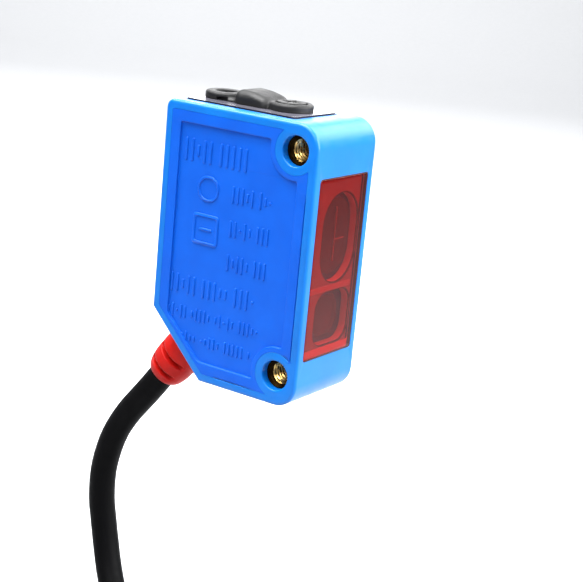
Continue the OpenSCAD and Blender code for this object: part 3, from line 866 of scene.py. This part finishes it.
INSERT_END, INSERT_R = 4.95, 2
MINOR_R, THREAD_DEPTH, THREAD_PITCH = 1.25, 0.27, 0.5
MOUTH = 4.4  # beyond this the bore is drawn in dark brass as painted shade, and so are the roots of the thread
for z, name in ((HOLES[1], "upper_insert"), (HOLES[0], "lower_insert")):
    s = Skin()
    count, n = 168, 48
    rings = []
    for k in range(count + 1):
        x = -INSERT_END + 2*INSERT_END*k/count
        ring = []
        for j in range(n):
            a = 2*math.pi*j/n
            # slanted flanks with flat crests and roots, and a lead-in at both ends
            phase = (x/THREAD_PITCH - j/n) % 1
            depth = min(max(1.15*(1 - abs(2*phase - 1)) - 0.1, 0), 0.95)
            flare = 1.6 - (INSERT_END - abs(x))*0.9
            r = max(MINOR_R + THREAD_DEPTH*depth, flare)
            ring.append((x, r*math.cos(a), z + r*math.sin(a)))
        rings.append(s.ring(ring))
    for k, (p, q) in enumerate(zip(rings, rings[1:])):
        first = len(s.faces)
        s.strip(p, q)
        if abs(-INSERT_END + 2*INSERT_END*(k + 0.5)/count) > MOUTH:
            s.since(first)
            continue
        # The thread's roots take the dark brass as well: painted shade in the grooves
        for number in range(first, len(s.faces)):
            corners = [s.points[i] for i in s.faces[number]]
            mean_r = sum(math.hypot(c[1], c[2] - z) for c in corners)/len(corners)
            if mean_r > MINOR_R + 0.55*THREAD_DEPTH:
                s.second.add(number)
    rims = []
    first = len(s.faces)
    for sign, inner_ring in ((-1, rings[0]), (1, rings[-1])):
        lip = s.ring([on_closed(u, v, sign*INSERT_END) for u, v in circle(0, z, INSERT_R - 0.1, n)])
        edge = s.ring([on_closed(u, v, sign*(INSERT_END - 0.1))
                       for u, v in circle(0, z, INSERT_R, n)])
        s.strip(inner_ring, lip)
        s.strip(lip, edge)
        rims.append(edge)
    s.strip(rims[0], rims[1])
    s.since(first)
    piece = s.piece(name + "_thread", BRASS, sharp=35, second=BRASS_PAINTED_SHADE)
    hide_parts(name)

# ---------------------------------------------------------------- window, lens holder, lenses

# The pane is thinner than the CAD's, because its material has no refraction: behind a pane of full
# thickness the lens holder would look too deep
s = Skin()
PANE_BACK = -FRONT - 0.38


def pane(d):
    """The pane's outline moved inwards by d."""
    return rounded(9.62 - 2*d, 20.52 - 2*d, 0.34, 0, WINDOW_Z)


made = s.rings(on_front, rim(pane, 0.08, -FRONT, steps=3))
s.fill(made[0])
first = len(s.faces)
back = s.ring([on_front(u, v, PANE_BACK) for u, v in pane(0)])
s.strip(made[-1], back)
s.fill(back)
s.since(first)
window = s.piece("window_pane", WINDOW, second=WINDOW_BACK)
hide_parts("front_window")

# Dark sheet in the joint round the pane: painted shade of the gap
s = Skin()
outside, inside = [s.rings(on_front, [(rounded(*size, 0, WINDOW_Z), h) for h in (2.86, 2.55)])
                   for size in ((9.78, 20.68, 0.38), (9.63, 20.53, 0.34))]
s.fill(outside[0], inside[0])
s.fill(outside[1], inside[1])
gap_shade = s.piece("window_gap_shade", PAINTED_SHADE)

# Gasket behind the pane, with a wide lip along its lower edge
s = Skin()
outside, inside = [s.rings(on_front, [(rounded(w, h, 0.3, 0, WINDOW_Z + dz), level)
                                      for level in (2.5, 2.46)])
                   for w, h, dz in ((9.36, 20.42, -0.09), (9.28, 19.44, 0.36))]
s.fill(outside[0], inside[0])
s.fill(outside[1], inside[1])
SILL_Z = (-10.73, -10.69)
sill = [s.ring([(-4.4, y, z), (4.4, y, z)]) for y, z in ((-2.84, SILL_Z[0]), (-2.46, SILL_Z[0]),
                                                        (-2.46, SILL_Z[1]), (-2.84, SILL_Z[1]))]
for p, q in zip(sill, sill[1:] + sill[:1]):
    s.strip(p, q, closed=False)
s.fill([ring[0] for ring in sill])
s.fill([ring[1] for ring in sill])
seal = s.piece("window_gasket", GASKET)
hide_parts("window_seal")

# Lens holder: HF and HR are its front and rear, as distances forward of the origin
s = Skin()
HF, HR = 2.45, -7.2
LENS_X, LENS_W = 0.8, 6.9
BIG_Z, SMALL_Z = 2.8, -6.5
HOLDER_LOW, HOLDER_HIGH = -9.95, 9.6


def big(d):
    """The receiver's opening moved outwards by d."""
    return rounded(LENS_W + 2*d, 10.2 + 2*d, LENS_W/2 - 0.01 + d, LENS_X, BIG_Z, n=17)


def small(d):
    """The emitter's opening moved outwards by d."""
    return rounded(LENS_W + 2*d, 6.1 + 2*d, 1.9 + d, LENS_X, SMALL_Z, n=17)


def shell(d):
    """The holder's outline moved inwards by d."""
    return rounded(8.95 - 2*d, HOLDER_HIGH - HOLDER_LOW - 2*d, 0.3, -0.075,
                   (HOLDER_HIGH + HOLDER_LOW)/2)


outer_rings = s.rings(on_front, [(shell(0.1), HF), (shell(0), HF - 0.1), (shell(0), HR + 0.1),
                                 (shell(0.1), HR)])
cells = []
for shape in (big, small):
    # A near-black ring round each opening: painted shadow of its rim
    first = len(s.faces)
    cell = s.rings(on_front, [(shape(0.2), HF), (shape(0.14), HF - 0.12), (shape(0.02), HF - 0.16)])
    s.since(first)
    cells.append(cell[0])
s.fill(outer_rings[0], cells[0], cells[1])
holder = s.piece("lens_tube", HOLDER, second=PAINTED_SHADE)
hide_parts("lens_holder")

# The walls of the two openings, in the paler gasket grey: painted light on walls that lie in shade
s = Skin()
for shape in (big, small):
    s.rings(on_front, [(shape(0.02), HF - 0.16), (shape(0), HF - 0.2), (shape(0), HF - 1.06),
                       (shape(-0.04), HF - 1.1)])
opening_walls_painted_light = s.piece("lens_opening_walls_painted_light", GASKET)

# Faint cross in front of the larger lens
s = Skin()
for u, v, w, h in ((LENS_X, 3.05, 0.16, 6.3), (LENS_X + 1.0, 2.45, 1.9, 0.14)):
    bar = s.rings(on_front, [(rounded(w - 0.04, h - 0.04, 0.05, u, v, n=3), HF - 0.62),
                             (rounded(w, h, 0.06, u, v, n=3), HF - 0.65),
                             (rounded(w, h, 0.06, u, v, n=3), HF - 0.8)])
    s.fill(bar[0])
    s.fill(bar[-1])
cross = s.piece("receiver_cross", HOLDER)

# Bar between the two openings, in a paler grey than the holder: painted light
s = Skin()
bridge = s.rings(on_front, [(rounded(8.5 - 2*e, 0.72 - 2*e, 0.3 - e, -0.1, -2.88), HF + h)
                            for e, h in ((0.12, 0.05), (0.03, 0.035), (0, 0), (0, -0.05))])
s.fill(bridge[0])
s.fill(bridge[-1])
bridge = s.piece("lens_bridge", BRIDGE_PAINTED_LIGHT)

# Chambers behind the lenses, in near-black: painted shade of their depth
s = Skin()
ends = []
for shape in (big, small):
    ends.append(s.rings(on_front, [(shape(0), HF - 1.1), (shape(0), HF - 2), (shape(-0.6), HF - 2.2),
                                   (shape(-0.6), HR)]))
s.fill(s.ring([on_front(u, v, HR) for u, v in shell(0.1)]), ends[0][-1], ends[1][-1])
chamber = s.piece("lens_chambers", PAINTED_SHADE)

# Lenses: domed towards the window, with a radius of curvature each
LENS_FRONT = -HF + 0.7
for name, shape, zc, bulge in (("receiver_lens", big, BIG_Z, 32.0),
                               ("emitter_lens", small, SMALL_Z, 12.0)):
    s = Skin()
    base_loop = shape(-0.06)
    rings = []
    for t in (1, 0.98, 0.92, 0.82, 0.7, 0.56, 0.42, 0.28, 0.14, 0.05):
        loop = (base_loop - (LENS_X, zc))*t + (LENS_X, zc)
        depths = [math.sqrt(bulge**2 - (u - LENS_X)**2 - (v - zc)**2) for u, v in loop]
        rings.append(s.ring([(u, LENS_FRONT + bulge - deep, v)
                             for (u, v), deep in zip(loop, depths)]))
    back = s.ring([(u, -HF + 2.13, v) for u, v in base_loop])
    s.strip(back, rings[0])
    for p, q in zip(rings, rings[1:]):
        s.strip(p, q)
    s.fill(rings[-1])
    s.fill(back)
    lens = s.piece(name + "_glass", LENS)
    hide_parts(name)

# ---------------------------------------------------------------- top panel, bezel and knobs

s = Skin()
PANEL_TOP = TOP + 0.17
STEM_HOLE = 1.2


def slab(d):
    """The panel's outline moved inwards by d."""
    return rounded(8.4 - 2*d, 15 - 2*d, 0.4, 0, PANEL_Y)


def panel_holes(height):
    """Rings of the panel's three openings at a height."""
    return [s.ring([on_top(u, v, height) for u, v in loop]) for loop in
            (circle(0, DISTANCE_Y, STEM_HOLE, 40), circle(0, MODE_Y, STEM_HOLE, 40),
             rounded(2.8, 3, 0.5, 0, DOME_Y))]


upper, lower = panel_holes(PANEL_TOP), panel_holes(PANEL_SEAT)
for p, q in zip(upper, lower):
    s.strip(p, q)
rings = s.rings(on_top, [(slab(0.04), PANEL_TOP)])
s.fill(rings[0], *upper)
first = len(s.faces)
edges = s.rings(on_top, [(slab(d), h) for d, h in ((0.04, PANEL_TOP), (0.01, PANEL_TOP - 0.02),
                                                   (0, PANEL_TOP - 0.05), (0, PANEL_SEAT + 0.02),
                                                   (0.02, PANEL_SEAT))])
s.since(first)
s.fill(edges[-1], *lower)
panel = s.piece("panel_plate", SMOKE, second=SEAM)
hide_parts("top_panel")

# Dark seam round the panel
s = Skin()
SEAM_LEVELS = (TOP - 0.005, PANEL_SEAT + 0.02)
outside, inside = [s.rings(on_top, [(rounded(*size, 0, PANEL_Y), h) for h in SEAM_LEVELS])
                   for size in ((8.76, 15.36, 0.56), (8.42, 15.02, 0.41))]
s.fill(outside[0], inside[0])
s.fill(outside[1], inside[1])
seam = s.piece("panel_seam", SEAM)
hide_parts("panel_seal")


def bezel_shape(x, y, z):
    """Two collars and the hood between them, on a common foot."""
    from_mode, from_distance = np.hypot(x, y - MODE_Y), np.hypot(x, y - DISTANCE_Y)
    rear_collar = sd_drum(from_mode, z, 2.4, TOP - 1, TOP + 1.05, 0.34)
    front_collar = sd_drum(from_distance, z, 2.55, TOP - 1, TOP + 1.05, 0.34)
    hood = sd_box(x, y, z, (0, DOME_Y - 0.55, TOP - 0.4), (2.5, 2.45, 2.2), 1.0)
    slope = (TOP + 1.78 - 0.5*(8.2 - y) - z)*0.9
    hood = carve(hood, slope, 1.0)
    foot = sd_box(x, y, z, (0, DOME_Y, TOP - 0.6), (2.0, 3.4, 1.15), 0.4)
    body = join(join(rear_collar, front_collar, 0.2), foot, 0.3)
    body = join(body, hood, 0.22)
    body = np.maximum(body, PANEL_TOP - 0.01 - z)
    body = carve(body, sd_drum(from_mode, z, 1.22, TOP - 2, TOP + 4, 0.1), 0.2)
    body = carve(body, sd_drum(from_distance, z, 1.85, TOP - 2, TOP + 4, 0.1), 0.16)
    for sign in (-1, 1):
        slot = sd_box(x, y, z, (sign*2.35, MODE_Y - 1.0, TOP + 0.34), (0.55, 0.6, 0.2), 0.12)
        body = carve(body, slot, 0.1)
    return body


bezel = carved("bezel_moulding", bezel_shape, (-2.85, 2.2, TOP - 0.15), (2.85, 16.9, TOP + 2.1),
               0.085, BEZEL)
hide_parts("control_bezel")


def knob(name, node, body_name, y0, r, low, high, slot_w, slot_l, cross):
    """A slotted screw head between two heights, with its stem and blade, on its own body."""
    def shape(x, y, z):
        rho = np.hypot(x, y - y0)
        head = sd_drum(rho, z, r, low, high, 0.12)
        cut = sd_box(x, y, z, (0, y0, high), (slot_l/2, slot_w/2, 0.42), 0.06)
        head = carve(head, cut, 0.06)
        if cross:
            head = carve(head, sd_box(x, y, z, (0, y0, high), (slot_w/2, slot_l/2, 0.42), 0.06), 0.06)
        stem = sd_drum(rho, z, 0.9, 13.75, low + 0.2, 0.05)
        blade = sd_box(x, y, z, (0, y0, 13.6), (0.7, 0.2, 0.28), 0.04)
        return np.minimum(join(head, stem, 0.1), blade)

    piece = carved(name, shape, (-r - 0.2, y0 - r - 0.2, 13.2), (r + 0.2, y0 + r + 0.2, high + 0.2),
                   0.07, BEZEL, body=body_name)
    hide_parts(node)


knob("distance_screw", "distance_knob", "distance_adjuster", y0=DISTANCE_Y, r=1.65, low=TOP + 0.22,
     high=TOP + 1.15, slot_w=0.5, slot_l=2.4, cross=True)
knob("mode_screw", "selector_knob", "mode_selector", y0=MODE_Y, r=1.08, low=TOP - 0.7,
     high=TOP - 0.35, slot_w=0.4, slot_l=1.6, cross=False)

# ---------------------------------------------------------------- studio

FLOOR_Z = -0.1145
white = plastic("studio_white", "AEAFB1", "ACADAF", rough=(0.6, 0.7), grain=0.01, bump=0.0)
# The floor in metres: a flat that sweeps up into a backdrop, as (distance from the origin, height)
SWEEP = 0.5
profile = [(-1.6, 0.0), (1.1, 0.0)]
for a in np.radians(range(10, 91, 10)):
    profile.append((1.1 + SWEEP*math.sin(a), SWEEP - SWEEP*math.cos(a)))
profile.append((1.6, 2.2))
mesh = bpy.data.meshes.new("studio_floor")
verts, faces = [], []
away = Vector((forward.x, forward.y, 0)).normalized()
aside = Vector((level.x, level.y, 0)).normalized()
for u in (-3.2, 3.2):
    for d, h in profile:
        p = away*d + aside*u
        verts.append((p.x, p.y, FLOOR_Z + h))
for i in range(len(profile) - 1):
    faces.append((i, i + 1, len(profile) + i + 1, len(profile) + i))
mesh.from_pydata(verts, [], faces)
for f in mesh.polygons:
    f.use_smooth = True
mesh.materials.append(white)
floor = bpy.data.objects.new("studio_floor", mesh)
bpy.context.scene.collection.objects.link(floor)

world = bpy.data.worlds.new("studio")
bpy.context.scene.world = world
world.use_nodes = True
background = world.node_tree.nodes["Background"]
background.inputs["Color"].default_value = (0.93, 0.96, 1.0, 1)
background.inputs["Strength"].default_value = 0.3


def lamp(name, position, target, size, power):
    """A soft lamp: position and target in millimetres, size in metres."""
    light = bpy.data.lights.new(name, "AREA")
    light.shape = "RECTANGLE"
    light.size, light.size_y = size
    light.energy = power
    obj = bpy.data.objects.new(name, light)
    obj.location = Vector(position)*MM
    obj.rotation_euler = (Vector(target) - Vector(position)).to_track_quat("-Z", "Y").to_euler()
    bpy.context.scene.collection.objects.link(obj)


lamp("key", (110, -300, 150), (0, 5, 0), (0.26, 0.30), 3.5)
lamp("overhead", (-50, 90, 325), (0, 8, 0), (0.34, 0.34), 6.0)
lamp("side", (-300, -110, 240), (0, 8, 0), (0.12, 0.12), 0.8)
lamp("behind", tuple(away*700 + Vector((0, 0, 185))), (0, 0, 10), (0.6, 0.26), 2.3)
lamp("edge", (430, -80, 270), (0, 0, 10), (0.3, 0.3), 1.7)
lamp("backdrop", (300, 300, 500), (900, 600, 100), (0.9, 0.9), 28)
